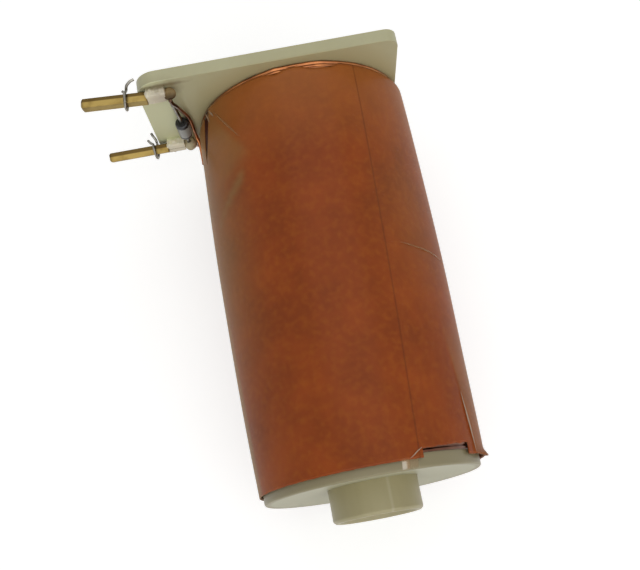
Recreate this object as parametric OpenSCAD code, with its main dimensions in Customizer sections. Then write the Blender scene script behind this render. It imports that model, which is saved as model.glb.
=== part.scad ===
// Plunger solenoid coil: a moulded bobbin wound with enamelled wire, wrapped in
// brown paper and clear film, with two square posts, a diode and a slide-out sleeve.
// The coil lies on its side. Its axis is Y, the terminal plate's outer face is at
// y = 0 and the winding runs towards -Y. Sizes are in millimetres.

/* [Terminal plate] */
// Width of the plate across X
plate_w = 40; // [36:0.5:42]
// Height of the plate along Z
plate_h = 46.5; // [45:0.5:52]
// Thickness of the plate
plate_t = 2.5; // [2.2:0.1:4]
// Radius of the plate's corners
plate_corner_r = 2.5; // [1:0.5:6]
// Distance from the winding's outside to the outer edge of the terminal ear
ear_out = 9.05; // [7.5:0.05:12]
// Distance from the plate's upper edge to the upper post, and from the lower post to the ear's lower edge
ear_margin = 2.95; // [2.6:0.05:4]
// Radius of the ear's upper corner
ear_top_r = 4; // [1.5:0.5:5]
// Radius of the ear's lower corner
ear_low_r = 1.5; // [0.5:0.5:2.5]
// Depth of the groove that the winding's start lies in
groove_depth = 0.95; // [0.8:0.05:1.1]
// Distance of the groove below the terminal ear
groove_drop = 2.85; // [2:0.05:4]

/* [Foot flange] */
// Distance of the round flange's rim inside the winding's outside
foot_inset = 0.5; // [0.3:0.05:2]
// Thickness of the round flange
foot_t = 2.5; // [2:0.1:4]
// Depth of the dish in the flange's outer face
foot_dish = 0.7; // [0.2:0.1:1.2]
// Radius of the flange's rounded rim
foot_edge_r = 0.45; // [0.2:0.05:0.8]

/* [Winding] */
// Length of the winding between the flanges
winding_l = 75.5; // [60:0.5:90]
// Diameter of the winding at the plate
winding_plate_d = 42.5; // [42:0.1:43.2]
// Diameter of the winding at its middle
winding_mid_d = 43.4; // [43:0.1:46]
// Diameter of the winding at the foot flange
winding_foot_d = 41.5; // [41:0.1:43]
// Diameter of the enamelled wire
wire_d = 0.75; // [0.6:0.05:0.85]
// Turns that show at each end of the outer layer
end_turns = 6; // [4:1:10]
// Clearance of the outer turns under the paper
turn_fit = 0.02; // [0.01:0.01:0.05]

/* [Wrapping] */
// Thickness of the brown paper
paper_t = 0.25; // [0.15:0.05:0.5]
// Thickness of the clear film
film_t = 0.06; // [0.04:0.01:0.1]
// Gap between the wrapping and the plate
wrap_gap = 0.7; // [0.3:0.1:1.5]
// Overlap of the wrapping on the foot flange's rim
wrap_over = 0.9; // [0.4:0.1:1.4]
// Place of the film's end edge, in degrees from +X towards +Z
seam_at = 67; // [67:1:75]
// Width of the film's lap, in degrees
seam_lap = 55; // [20:1:80]
// Depth of the notch where the leads come out
lead_notch = 1.7; // [1:0.1:2.5]
// Depth of the slot in the notch that the finish lead lies in
lead_slot = 6.9; // [5:0.1:9]
// Depth of the notch at the foot
foot_notch = 1.5; // [0.5:0.1:2]
// Length of the film's tab beyond the paper
tab_l = 1.5; // [0.5:0.1:1.6]

/* [Sleeve] */
// Bore of the sleeve, in which the plunger runs
sleeve_bore_d = 13; // [10:0.1:14]
// Wall of the sleeve
sleeve_wall = 1.9; // [1:0.1:2.2]
// Length of the nose beyond the foot flange
nose_l = 5.4; // [3:0.1:9]
// Radial clearance of the sleeve in the bobbin
sleeve_fit = 0.1; // [0.05:0.01:0.1]
// Width of the sleeve's collar beyond its wall
collar_rim = 2.1; // [1:0.1:3]
// Thickness of the collar
collar_t = 1.2; // [0.8:0.1:1.6]
// Wall of the bobbin's core
core_wall = 1.2; // [0.8:0.1:1.8]

/* [Terminals] */
// Side of the square posts
post_side = 1.9; // [1.5:0.05:2]
// Length of the posts beyond the ear
post_out = 10.7; // [6:0.1:18]
// Distance from the winding's outside to the posts' inner ends
post_gap = 2.15; // [1.9:0.05:2.4]
// Distance between the posts
post_pitch = 20.5; // [17:0.1:23]
// Turn of the lower post in its boss, in degrees
lower_turn = 25; // [0:1:45]
// Lean of the upper post towards the plate, in degrees
upper_lean = 4; // [0:0.5:5]
// Chamfer at the posts' ends
post_chamfer = 0.35; // [0.1:0.05:0.6]
// Clearance of the posts in their bosses
post_fit = 0.02; // [0:0.01:0.05]
// Width of the bosses that hold the posts
boss_w = 3; // [2.8:0.1:3.6]
// Radius of the bosses' front edges
boss_edge_r = 0.6; // [0.2:0.1:0.8]
// Distance from the winding's outside to the bosses' inner ends
boss_gap = 3.75; // [3.5:0.05:4.5]
// Distance of the bosses from the ear's edge
boss_inset = 1.8; // [0:0.1:2]
// Length of the solder joints along the posts
solder_l = 2.4; // [2:0.1:2.4]
// Thickness of the solder over the posts' corners
solder_skin = 0.04; // [0.02:0.01:0.2]
// Gap between the solder joints and the plate
solder_gap = 0.02; // [0.01:0.01:0.1]

/* [Diode] */
// Diameter of the diode's body
diode_d = 2.7; // [2:0.1:2.7]
// Length of the diode's body
diode_l = 5.2; // [4:0.1:7]
// Diameter of the diode's leads
diode_lead_d = 0.8; // [0.5:0.05:0.9]
// Clearance of the diode from the plate and from the finish lead
diode_fit = 0.05; // [0.02:0.01:0.2]
// Distance of the diode below the middle of the posts
diode_drop = 3.4; // [0:0.1:4]
// Lean of the diode's upper lead towards the boss
diode_lean = 0.5; // [0:0.1:0.5]

/* [Wire ends] */
// Distance of the finish lead from the winding's outside, beside the diode
lead_gap = 1; // [0.8:0.05:1.3]
// Clearance of the leads from the posts and from the plate's edge
lead_fit = 0.05; // [0.02:0.01:0.1]
// Diameter of the tinned wire wrapped on the posts
wrap_wire_d = 0.55; // [0.4:0.05:0.55]
// Turns of tinned wire on each post
wrap_turns = 1; // [1:1:3]
// Gap between neighbouring turns of a wrap
wrap_space = 0.05; // [0.02:0.01:0.3]
// Clearance of the wraps around the posts' corners
wrap_fit = 0.02; // [0.01:0.01:0.1]

/* [Hidden] */
$fn = 96;

// Depths are measured from the plate's outer face, along -Y
foot_face = plate_t + winding_l;
coil_l = foot_face + foot_t;
sleeve_l = coil_l + nose_l;
sleeve_r = sleeve_bore_d / 2 + sleeve_wall;
collar_r = sleeve_r + collar_rim;
core_bore_r = sleeve_r + sleeve_fit;
core_r = core_bore_r + core_wall;
foot_r = winding_foot_d / 2 - foot_inset;
// The terminals keep their distances from the winding's outside and from the ear's edge
winding_edge = winding_plate_d / 2;
ear_reach = winding_edge + ear_out;
post_reach = ear_reach + post_out;
post_tail = winding_edge + post_gap;
boss_tail = winding_edge + boss_gap;
post_top = plate_h / 2 - ear_margin;
post_bottom = post_top - post_pitch;
ear_low = post_bottom - ear_margin;
groove_z = ear_low - groove_drop;
solder_r = post_side / sqrt(2) + solder_skin;
post_depth = plate_t + solder_r + solder_gap;
// The upper post leans about a point this far inside its boss
pivot_in = 2.05;
post_pivot = boss_tail + pivot_in;
// The solder joints end just short of the bosses
solder_x = boss_tail - solder_l / 2 - solder_gap;
wire_r = wire_d / 2;
diode_x = winding_edge + lead_gap + wire_r + diode_fit + diode_d / 2;
diode_depth = plate_t + diode_d / 2 + diode_fit;
diode_z = post_top - post_pitch / 2 - diode_drop;
wrap_wire_r = wrap_wire_d / 2;
wrap_start = plate_t + wrap_gap;
wrap_end = foot_face + wrap_over;
wrap_steps = 12;
// Sides of the swept wires, and the step of their turns in degrees
wire_sides = 8;
turn_step = 30;
// The flats of a stepped turn stay clear of the post's corners
wrap_path_r = (post_side / sqrt(2) + wrap_wire_r + wrap_fit) / cos(turn_step / 2);
// Length of a wrap's turns along its post
wrap_l = wrap_turns * (wrap_wire_d + wrap_space);
// Steps between the hand-chosen points of tails and leads
tail_steps = 3;
lead_steps = 2;
// Spare length that carries a cut clear of a face
spare = 1;
// The slit for the leads, the finish lead's slot and the notch at the foot, in degrees
lead_slit = [152, 212];
finish_slot = [175, 187];
foot_slit = [35, 66];
// Place and width of the film's tab, in degrees, and its lap on the film
tab_at = 69;
tab_width = 8;
tab_lap = 0.6;
// Width of the groove over the wire's diameter
groove_fit = 0.25;
// Directions at which the outer side of a turn is sampled, in degrees
turn_sweep = [-70, -35, 0, 35, 70];
// Directions at which the foot flange's rounded rim is sampled, in degrees
rim_sweep = [0 : 22.5 : 90];

// The finish lead leaves the outer layer at these directions in degrees, this far off the wire and at
// these shares of the slot's depth
finish_leave = [[183, 0.02, 0.92], [181, 0.02, 0.6], [178.5, 0.18, 0.3]];
// It then climbs by shares of the posts' pitch, at distances added to its gap from the winding and
// at shares of the way from the plate to the front of the upper post
finish_climb = [
    [0.1, -0.05, 0.11], [0.249, 0, 0.09], [0.459, 0.15, 0], [0.673, 0.85, 0.3],
    [0.878, 1.35, 0.81], [0.966, 1.75, 1], [1.034, 1.95, 1]
];
// Least distance of the finish lead from the plate
climb_off = 0.325;
// The start lead's bend, as shares of its way outwards, forwards and upwards to the lower post
start_bend = [[0, 0.11, 0.05], [0.45, 0.31, 0.235], [0.87, 0.64, 0.61], [1, 1, 1]];
// Places outside the ear's edge where the wire wraps' turns end, and their directions there in degrees
upper_wrap_end = [2, 30];
lower_wrap_end = [0.5, 20];
// Direction in degrees at which the lower wrap's turns start
lower_wrap_start = 75;
// Points of the wraps' tails: distance further out than the turn they leave, and place across the
// post as shares of the turns' radius
upper_tail = [[-0.1, 1.06, 0.59], [-0.35, 1.27, 1], [-1.05, 1.59, 1.24], [-1.85, 1.83, 1.24]];
lower_tail_in = [[1.1, 1.26, 0.35], [0.6, 0.73, 0.65]];
lower_tail_out = [[0.15, 1.26, 0.47], [0.5, 1.59, 0.71], [0.75, 1.92, 0.94]];

// A tail's points along a post's own line, where the turn it leaves is that far outside the ear
function tail(pts, out) =
    [for (p = pts) [-ear_reach - out - p[0], wrap_path_r * p[1], wrap_path_r * p[2]]];

// Radius of the winding at a depth: a parabola through its three diameters
function winding_r(h) =
    let (t = (h - plate_t) / winding_l)
    (winding_plate_d * (1 - t) * (1 - 2 * t) + winding_mid_d * 4 * t * (1 - t)
        + winding_foot_d * t * (2 * t - 1)) / 2;

// Depths at which the wrapping's outline is sampled
wrap_depths = [for (i = [0 : wrap_steps]) wrap_start + (wrap_end - wrap_start) * i / wrap_steps];
inner_depths = [
    for (h = wrap_depths)
        if (h > plate_t + end_turns * wire_d && h < foot_face - end_turns * wire_d) h
];

function unit(v) = v / norm(v);

// Directions of a path at each of its points
function tangents(path) =
    let (n = len(path) - 1)
    [for (i = [0 : n]) unit(path[min(i + 1, n)] - path[max(i - 1, 0)])];

// Normals carried along a path without twist
function normals(ts, i, last) =
    i == len(ts) ? [] :
    let (n = unit(last - (last * ts[i]) * ts[i]))
    concat([n], normals(ts, i + 1, n));

// A smooth curve through points, by the Catmull-Rom rule
function curve(pts, steps) =
    let (n = len(pts) - 1)
    concat(
        [for (i = [0 : n - 1], k = [0 : steps - 1])
            let (
                t = k / steps,
                a = pts[max(i - 1, 0)],
                b = pts[i],
                c = pts[i + 1],
                d = pts[min(i + 2, n)]
            )
            (2 * b + (c - a) * t + (2 * a - 5 * b + 4 * c - d) * t * t
                + (3 * b - a - 3 * c + d) * t * t * t) / 2],
        [pts[n]]
    );

// Turns of wire around a post's own line, from one place outside the ear and direction to another
function post_turns(outs, from_deg, to_deg) =
    let (n = ceil(abs(to_deg - from_deg) / turn_step))
    [for (i = [0 : n])
        let (t = i / n, a = from_deg + (to_deg - from_deg) * t)
        [-ear_reach - outs[0] - (outs[1] - outs[0]) * t, wrap_path_r * cos(a), wrap_path_r * sin(a)]];

// A round wire along a path
module wire(path, r) {
    ts = tangents(path);
    first = abs(ts[0] * [1, 0, 0]) < 0.9 ? [1, 0, 0] : [0, 0, 1];
    ns = normals(ts, 0, first);
    m = wire_sides;
    last = len(path) - 1;
    points = [for (i = [0 : last], k = [0 : m - 1])
        let (a = 360 * k / m, b = cross(ts[i], ns[i]))
        path[i] + r * (cos(a) * ns[i] + sin(a) * b)];
    sides = [for (i = [0 : last - 1], k = [0 : m - 1])
        let (j = (k + 1) % m)
        [i * m + k, (i + 1) * m + k, (i + 1) * m + j, i * m + j]];
    caps = [[for (k = [0 : m - 1]) k], [for (k = [m - 1 : -1 : 0]) last * m + k]];
    polyhedron(points, concat(sides, caps));
}

// Turns a shape drawn upwards so that it runs along the coil, towards -Y
module along_coil() {
    rotate([90, 0, 0]) children();
}

// A ring between two outlines of the wrapping, over part of the turn
module wrap_shell(inner, outer, from_deg, to_deg) {
    along_coil()
        rotate([0, 0, from_deg])
            rotate_extrude(angle = to_deg - from_deg)
                polygon(concat(
                    [for (h = wrap_depths) [winding_r(h) + outer, h]],
                    [for (i = [wrap_steps : -1 : 0])
                        [winding_r(wrap_depths[i]) + inner, wrap_depths[i]]]
                ));
}

// The slit for the leads at the plate, the finish lead's slot in it and the notch at the foot
module wrap_notches() {
    along_coil() {
        rotate([0, 0, lead_slit[0]])
            rotate_extrude(angle = lead_slit[1] - lead_slit[0])
                translate([core_r, plate_t]) square([plate_w, lead_notch]);
        rotate([0, 0, finish_slot[0]])
            rotate_extrude(angle = finish_slot[1] - finish_slot[0])
                translate([core_r, plate_t]) square([plate_w, lead_slot]);
        rotate([0, 0, foot_slit[0]])
            rotate_extrude(angle = foot_slit[1] - foot_slit[0])
                translate([core_r, wrap_end - foot_notch]) square([plate_w, foot_notch + spare]);
    }
}

// A square with its own radius at each corner: lower left, lower right, upper right, upper left
module rounded_square(x0, x1, z0, z1, radii) {
    corners = [[x0, z0, 1, 1], [x1, z0, -1, 1], [x1, z1, -1, -1], [x0, z1, 1, -1]];
    difference() {
        translate([x0, z0]) square([x1 - x0, z1 - z0]);
        for (i = [0 : 3])
            if (radii[i] > 0)
                translate([corners[i][0], corners[i][1]])
                    mirror([corners[i][2] < 0 ? 1 : 0, 0])
                        mirror([0, corners[i][3] < 0 ? 1 : 0])
                            difference() {
                                translate([-spare, -spare]) square(radii[i] + spare);
                                translate([radii[i], radii[i]]) circle(radii[i]);
                            }
    }
}

module plate_outline() {
    half_w = plate_w / 2;
    half_h = plate_h / 2;
    rounded_square(-half_w, half_w, -half_h, half_h, [plate_corner_r, plate_corner_r, plate_corner_r, 0]);
    rounded_square(-ear_reach, 0, ear_low, half_h, [ear_low_r, 0, 0, ear_top_r]);
}

// Carries a shape to a post's own line, leaning about the middle of its boss
module on_post(z, lean) {
    translate([-post_pivot, -post_depth, z])
        rotate([0, 0, -lean])
            translate([post_pivot, 0, 0]) children();
}

// A square post, chamfered at both ends, along its own line
module post(grow) {
    half = post_side / 2 + grow;
    c = post_chamfer;
    outline = [
        [-post_tail, half - c], [-post_tail - c, half], [-post_reach + c, half],
        [-post_reach, half - c], [-post_reach, c - half], [-post_reach + c, -half],
        [-post_tail - c, -half], [-post_tail, c - half]
    ];
    intersection() {
        translate([0, 0, -half]) linear_extrude(2 * half) polygon(outline);
        rotate([90, 0, 0]) translate([0, 0, -half]) linear_extrude(2 * half) polygon(outline);
    }
}

module upper_post(grow) {
    on_post(post_top, upper_lean) post(grow);
}

module lower_post(grow) {
    on_post(post_bottom, 0) rotate([lower_turn, 0, 0]) post(grow);
}

// A close-fitting boss on the ear, with rounded front edges, that holds a post
module boss(z) {
    length = ear_reach - boss_inset - boss_tail;
    half = boss_w / 2;
    translate([-ear_reach + boss_inset, 0, z])
        rotate([0, 90, 0])
            linear_extrude(length)
                rounded_square(-half, half, -post_depth - half, -plate_t / 2, [boss_edge_r, boss_edge_r, 0, 0]);
}

// The groove in the plate's inner face that the winding's start lies in
module lead_groove() {
    width = wire_d + groove_fit;
    translate([-plate_w / 2 - spare, -plate_t - spare, groove_z - width / 2])
        cube([plate_w / 2 + spare, groove_depth + spare, width]);
}

// The round flange at the nose end, with its rounded rim and dished face
module foot_flange() {
    rotate_extrude()
        polygon(concat(
            [[core_bore_r, foot_face], [foot_r, foot_face]],
            [for (a = rim_sweep) [foot_r, coil_l] + foot_edge_r * [cos(a) - 1, sin(a) - 1]],
            [[core_r, coil_l - foot_dish], [core_bore_r, coil_l - foot_dish]]
        ));
}

// Bobbin: core tube, dished foot flange and terminal plate in one moulding
module bobbin() {
    // The core runs from inside the plate to inside the flange
    core_from = plate_t / 2;
    core_to = foot_face + foot_t / 2;
    color("#d8d6c4")
        difference() {
            union() {
                difference() {
                    along_coil() linear_extrude(plate_t) plate_outline();
                    lead_groove();
                }
                along_coil() {
                    translate([0, 0, core_from]) cylinder(r = core_r, h = core_to - core_from);
                    foot_flange();
                }
                boss(post_top);
                boss(post_bottom);
            }
            along_coil()
                translate([0, 0, -spare]) {
                    cylinder(r = core_bore_r, h = coil_l + 2 * spare);
                    cylinder(r = collar_r + sleeve_fit, h = collar_t + spare);
                }
            upper_post(post_fit);
            lower_post(post_fit);
        }
}

// Winding: layers of enamelled copper wire with a barrel outline and open end turns
module winding() {
    rise = [for (i = [0 : end_turns - 1], a = turn_sweep)
        let (h = plate_t + wire_d * (i + 0.5))
        [winding_r(h) - turn_fit - wire_r + wire_r * cos(a), h + wire_r * sin(a)]];
    fall = [for (i = [end_turns - 1 : -1 : 0], a = turn_sweep)
        let (h = foot_face - wire_d * (i + 0.5))
        [winding_r(h) - turn_fit - wire_r + wire_r * cos(a), h + wire_r * sin(a)]];
    color("#a8642c")
        along_coil()
            rotate_extrude()
                polygon(concat(
                    [[core_r, foot_face], [core_r, plate_t]],
                    rise,
                    [for (h = inner_depths) [winding_r(h), h]],
                    fall
                ));
}

// Paper: brown insulating paper around the winding, cut back where the leads come out
module paper_wrap() {
    color("#8c4a22")
        difference() {
            wrap_shell(0, paper_t, 0, 360);
            wrap_notches();
        }
}

// Film: clear film around the paper, with the lap at its end edge and a tab at the foot
module clear_film() {
    tab_from = wrap_end - tab_lap;
    tab_r = winding_r(tab_from) + paper_t + film_t / 2;
    color([0.85, 0.75, 0.6, 0.35]) {
        difference() {
            union() {
                wrap_shell(paper_t, paper_t + film_t, 0, 360);
                wrap_shell(paper_t + film_t / 2, paper_t + 2 * film_t, seam_at - seam_lap, seam_at);
            }
            wrap_notches();
        }
        along_coil()
            rotate([0, 0, tab_at])
                rotate_extrude(angle = tab_width)
                    polygon([
                        [tab_r, wrap_end], [tab_r, tab_from], [tab_r + film_t, tab_from],
                        [tab_r + film_t, wrap_end], [foot_r + 2 * film_t, wrap_end + tab_l],
                        [foot_r + film_t, wrap_end + tab_l]
                    ]);
    }
}

// Sleeve: a plain tube with a collar that seats flush in the plate
module coil_sleeve() {
    edge = sleeve_wall / 4;
    color("#b5ae98")
        along_coil()
            rotate_extrude()
                polygon([
                    [sleeve_bore_d / 2, 0], [collar_r, 0], [collar_r, collar_t], [sleeve_r, collar_t],
                    [sleeve_r, sleeve_l - edge], [sleeve_r - edge, sleeve_l], [sleeve_bore_d / 2, sleeve_l]
                ]);
}

// Posts: square brass posts pressed into the ear's bosses
module terminal_post_upper() {
    color("#b8863c") upper_post(0);
}

module terminal_post_lower() {
    color("#b8863c") lower_post(0);
}

// Start lead: from the core, along the plate's groove, up to the lower post
module start_lead() {
    depth = plate_t - groove_depth + wire_r + turn_fit;
    // The lead leaves the core's surface at the groove's height
    from_x = sqrt(pow(core_r + wire_d, 2) - pow(groove_z, 2));
    // It bends where it is clear of the plate's edge and of the winding
    winding_x = sqrt(pow(winding_edge + wire_r, 2) - pow(groove_z, 2));
    bend_x = max(plate_w / 2 + wire_r, winding_x) + lead_fit;
    to_x = bend_x - wire_d;
    inside = [for (x = [from_x, (from_x + to_x) / 2, to_x]) [-x, -depth, groove_z]];
    // It ends inside the solder, beside the post's inner end
    from = [-bend_x, -depth, groove_z];
    to = [-post_tail + wire_r + lead_fit, -post_depth, post_bottom - solder_r / 2];
    bend = [for (p = start_bend) from + [for (i = [0 : 2]) p[i] * (to - from)[i]]];
    color("#a8642c") wire(curve(concat(inside, bend), tail_steps), wire_r);
}

// Finish lead: from the outer layer, beside the diode, up to the upper post
module finish_lead() {
    near = plate_t + wire_r + climb_off;
    // The leaning post's front face is furthest from the plate at its inner end
    lean_out = (post_pivot - post_tail) * tan(upper_lean);
    front = post_depth + post_side / 2 / cos(upper_lean) + lean_out + wire_r + lead_fit;
    leave = [for (p = finish_leave)
        let (h = plate_t + lead_slot * p[2], r = winding_r(h) + wire_r + p[1])
        [r * cos(p[0]), -h, r * sin(p[0])]];
    climb = [for (p = finish_climb)
        [-winding_edge - lead_gap - p[1], -near - (front - near) * p[2], post_bottom + post_pitch * p[0]]];
    color("#a8642c") wire(curve(concat(leave, climb), lead_steps), wire_r);
}

// Diode: a moulded body with rounded ends, between the posts' inner ends
module diode_body() {
    end_r = diode_d / 6;
    color("#1c1c1e")
        translate([-diode_x, -diode_depth, diode_z - diode_l / 2])
            rotate_extrude()
                polygon([
                    [0, 0], [diode_d / 2 - end_r, 0], [diode_d / 2, end_r],
                    [diode_d / 2, diode_l - end_r], [diode_d / 2 - end_r, diode_l], [0, diode_l]
                ]);
}

// Diode leads: tinned wires from the body to the posts, the upper one leaning to its boss
module diode_lead_upper() {
    from_z = diode_z + diode_l / 2;
    rise = post_top - post_side / 2 - post_fit - from_z;
    color("#a9a9a4")
        difference() {
            translate([-diode_x, -diode_depth, from_z])
                rotate([0, -atan(diode_lean / rise), 0])
                    translate([0, 0, -diode_lead_d])
                        cylinder(d = diode_lead_d, h = rise + diode_lead_d);
            diode_body();
        }
}

module diode_lead_lower() {
    // The lead stands on the turned post's upper face
    off = abs(diode_depth - post_depth) + diode_lead_d / 2;
    from_z = post_bottom + post_side / 2 / cos(lower_turn) + off * tan(lower_turn);
    color("#a9a9a4")
        translate([-diode_x, -diode_depth, from_z])
            cylinder(d = diode_lead_d, h = diode_z - diode_l / 2 - from_z);
}

// Solder: a bead around a post's inner end that closes over the leads
module solder_bead() {
    half = solder_l / 2;
    translate([-solder_x, 0, 0])
        rotate([0, 90, 0])
            rotate_extrude()
                polygon(concat(
                    [[0, -half]],
                    [for (a = [-75 : 15 : 75]) [solder_r * sqrt(cos(a)), half * sin(a)]],
                    [[0, half]]
                ));
}

module solder_joint_upper() {
    color("#b9b9b4")
        difference() {
            on_post(post_top, upper_lean) solder_bead();
            upper_post(0);
            diode_lead_upper();
            finish_lead();
        }
}

module solder_joint_lower() {
    color("#b9b9b4")
        difference() {
            on_post(post_bottom, 0) solder_bead();
            lower_post(0);
            diode_lead_lower();
            start_lead();
        }
}

// Wire wraps: cut ends of tinned wire wound around the posts beside the ear
module wire_wrap_upper() {
    out = upper_wrap_end[0];
    turns = post_turns([out + wrap_l, out], upper_wrap_end[1] + 360 * wrap_turns, upper_wrap_end[1]);
    color("#8f8f88")
        on_post(post_top, upper_lean)
            wire(concat(turns, curve(tail(upper_tail, out), tail_steps)), wrap_wire_r);
}

module wire_wrap_lower() {
    out = lower_wrap_end[0];
    turns = post_turns([out + wrap_l, out], lower_wrap_start, lower_wrap_end[1] + 360 * wrap_turns);
    tail_in = curve(tail(lower_tail_in, out + wrap_l), tail_steps);
    tail_out = curve(tail(lower_tail_out, out), tail_steps);
    color("#8f8f88")
        on_post(post_bottom, 0) wire(concat(tail_in, turns, tail_out), wrap_wire_r);
}

bobbin();
winding();
paper_wrap();
clear_film();
coil_sleeve();
terminal_post_upper();
terminal_post_lower();
start_lead();
finish_lead();
diode_body();
diode_lead_upper();
diode_lead_lower();
solder_joint_upper();
solder_joint_lower();
wire_wrap_upper();
wire_wrap_lower();
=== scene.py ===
# Plunger solenoid coil: a nylon bobbin wound with enamelled wire, wrapped in brown paper and
# clear film, with two brass posts, a diode across them and a sleeve that slides out. The bore
# runs along Y, the plate's outer face is at y = 0, the winding lies towards -Y and the posts
# point towards -X. Sizes are in millimetres and turns in degrees. A depth is measured from the
# plate's outer face towards -Y, and an angle round the bore from +X towards +Z.
import bmesh
import bpy
import numpy as np
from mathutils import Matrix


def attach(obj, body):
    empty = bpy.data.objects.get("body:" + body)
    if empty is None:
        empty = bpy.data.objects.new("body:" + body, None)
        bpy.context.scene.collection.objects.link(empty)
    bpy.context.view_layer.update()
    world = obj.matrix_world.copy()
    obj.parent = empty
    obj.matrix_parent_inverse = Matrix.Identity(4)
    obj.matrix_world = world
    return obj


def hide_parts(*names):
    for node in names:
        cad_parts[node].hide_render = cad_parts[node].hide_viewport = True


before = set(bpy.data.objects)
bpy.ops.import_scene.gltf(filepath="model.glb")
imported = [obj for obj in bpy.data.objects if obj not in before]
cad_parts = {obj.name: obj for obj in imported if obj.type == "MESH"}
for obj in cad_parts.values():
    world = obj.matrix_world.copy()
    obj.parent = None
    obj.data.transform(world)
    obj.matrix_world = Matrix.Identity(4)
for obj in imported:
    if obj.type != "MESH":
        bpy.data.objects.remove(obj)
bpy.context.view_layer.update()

# Bobbin: core tube, terminal plate with its ear and bosses, and a dished round foot, moulded in
# one piece of natural nylon. Moulding leaves soft edges and a faint grain, age has yellowed it,
# and flux has stained the plate where the upper post is soldered. Its colour also carries painted
# shade and painted light.
MM = 0.001
PLATE_FACE = 2.5
BOSS_REACH = 24.5
BOSS_SUNK = 0.68
MOULDED_EDGE = 0.22
MOULD_GRAIN = 0.35
AGE_CLOUD = 11.0
BLOT = 1.6
BLOT_RAGGED = 1.0
# Middle of each mark, how it is squeezed along x, y and z, its reach and its strength. The first
# is a painted shadow along the top of the upper boss, the other two are flux stains
STAINS_AND_SHADOW = (
    ((-27.4, -2.7, 21.7), (0.16, 1.7, 1.7), 0.9, 0.55),
    ((-23.4, -2.6, 20.8), (1.0, 1.0, 0.8), 1.9, 0.3),
    ((-25.6, -3.8, 20.6), (0.9, 1.0, 1.0), 3.6, 0.5),
)
NYLON_NEW = "#c3c09a"
NYLON_AGED = "#b5b089"
FOOT_PAINTED_SHADE = "#9f9b7e"
NYLON_PAINTED_SHADE = "#9e8848"
RIM_PAINTED_SHADE = "#8e8463"
EAR_PAINTED_LIGHT = "#e2e4ba"
NYLON_PRESSED_AND_LIT = "#fbf2d8"
FLUX_AND_SHADOW = "#5c3c1a"


def linear(colour):
    """Linear RGBA of an sRGB hex colour: c / 12.92 up to 0.04045, ((c + 0.055) / 1.055) ** 2.4 above."""
    c = np.array([int(colour[i:i + 2], 16) for i in (1, 3, 5)]) / 255
    c = np.where(c <= 0.04045, c / 12.92, ((c + 0.055) / 1.055) ** 2.4)
    return (*c.tolist(), 1.0)


def add(tree, kind, inputs, **settings):
    """Adds a node of a kind. inputs gives each socket, by name or number, a value or another node's
    output. A mix of two colours has its factor at 0, the colours at 6 and 7 and its result at 2."""
    made = tree.nodes.new(kind)
    for name, value in settings.items():
        setattr(made, name, value)
    for socket, value in inputs.items():
        if isinstance(value, bpy.types.NodeSocket):
            tree.links.new(value, made.inputs[socket])
        else:
            made.inputs[socket].default_value = value
    return made


def finish(name, values):
    """A new material, with plain numbers and colours on its Principled shader's own sockets."""
    made = bpy.data.materials.new(name)
    made.use_nodes = True
    shader = made.node_tree.nodes["Principled BSDF"]
    for socket, value in values.items():
        shader.inputs[socket].default_value = value
    return made, made.node_tree, shader


def soft_edges(piece, edge):
    """Rounds the sharp edges of a piece by edge mm, with the shading of its flat faces kept even."""
    bevel = piece.modifiers.new("soft edges", "BEVEL")
    bevel.width = edge * MM
    bevel.segments = 3
    bevel.limit_method = "ANGLE"
    bevel.angle_limit = np.radians(32)
    bevel.use_clamp_overlap = True
    piece.modifiers.new("even shading", "WEIGHTED_NORMAL")
    return piece


def softened(node, edge, finish_made):
    """A copy of a solid's mesh, merged and with its flat faces whole, whose sharp edges a bevel of
    edge mm rounds."""
    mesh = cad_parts[node].data.copy()
    b = bmesh.new()
    b.from_mesh(mesh)
    bmesh.ops.remove_doubles(b, verts=b.verts, dist=2e-6)
    bmesh.ops.dissolve_limit(b, angle_limit=np.radians(0.5), verts=b.verts, edges=b.edges)
    b.to_mesh(mesh)
    b.free()
    mesh.materials.clear()
    mesh.materials.append(finish_made)
    mesh.polygons.foreach_set("use_smooth", np.ones(len(mesh.polygons), bool))
    piece = bpy.data.objects.new(node + "_moulded", mesh)
    bpy.context.scene.collection.objects.link(piece)
    return soft_edges(piece, edge)


def corners_of(piece):
    """The places of a piece's vertices in metres, a row each."""
    places = np.empty(3 * len(piece.data.vertices), np.float32)
    piece.data.vertices.foreach_get("co", places)
    return places.reshape(-1, 3)


# Nylon is a little translucent, so its shading is soft. The mould's grain on it is drawn coarser than
# it is, so that it shows
NYLON = {"IOR": 1.53, "Subsurface Weight": 0.1, "Subsurface Radius": (1.0, 0.8, 0.5),
         "Subsurface Scale": 0.8 * MM}
nylon, tree, shader = finish("Natural nylon", {"Roughness": 0.45, **NYLON})
place = add(tree, "ShaderNodeTexCoord", {}).outputs["Object"]
parts = add(tree, "ShaderNodeSeparateXYZ", {0: place})
along = parts.outputs["Y"]
flat = add(tree, "ShaderNodeVectorMath", {0: place, 1: (1, 0, 1)}, operation="MULTIPLY")
reach = add(tree, "ShaderNodeVectorMath", {0: flat.outputs[0]}, operation="LENGTH").outputs["Value"]
cloud = add(tree, "ShaderNodeTexNoise", {"Vector": place, "Scale": 1 / (AGE_CLOUD * MM), "Detail": 3})
shade = add(tree, "ShaderNodeMix", {0: cloud.outputs["Fac"], 6: linear(NYLON_NEW), 7: linear(NYLON_AGED)},
            data_type="RGBA")
# The foot's outer face is painted darker, as painted shade
foot_shade = add(tree, "ShaderNodeMapRange", {"Value": along, "From Min": -78.5 * MM, "From Max": -77.5 * MM,
                                        "To Min": 0.8, "To Max": 0.0})
shade = add(tree, "ShaderNodeMix", {0: foot_shade.outputs[0], 6: shade.outputs[2], 7: linear(FOOT_PAINTED_SHADE)},
            data_type="RGBA")
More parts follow.
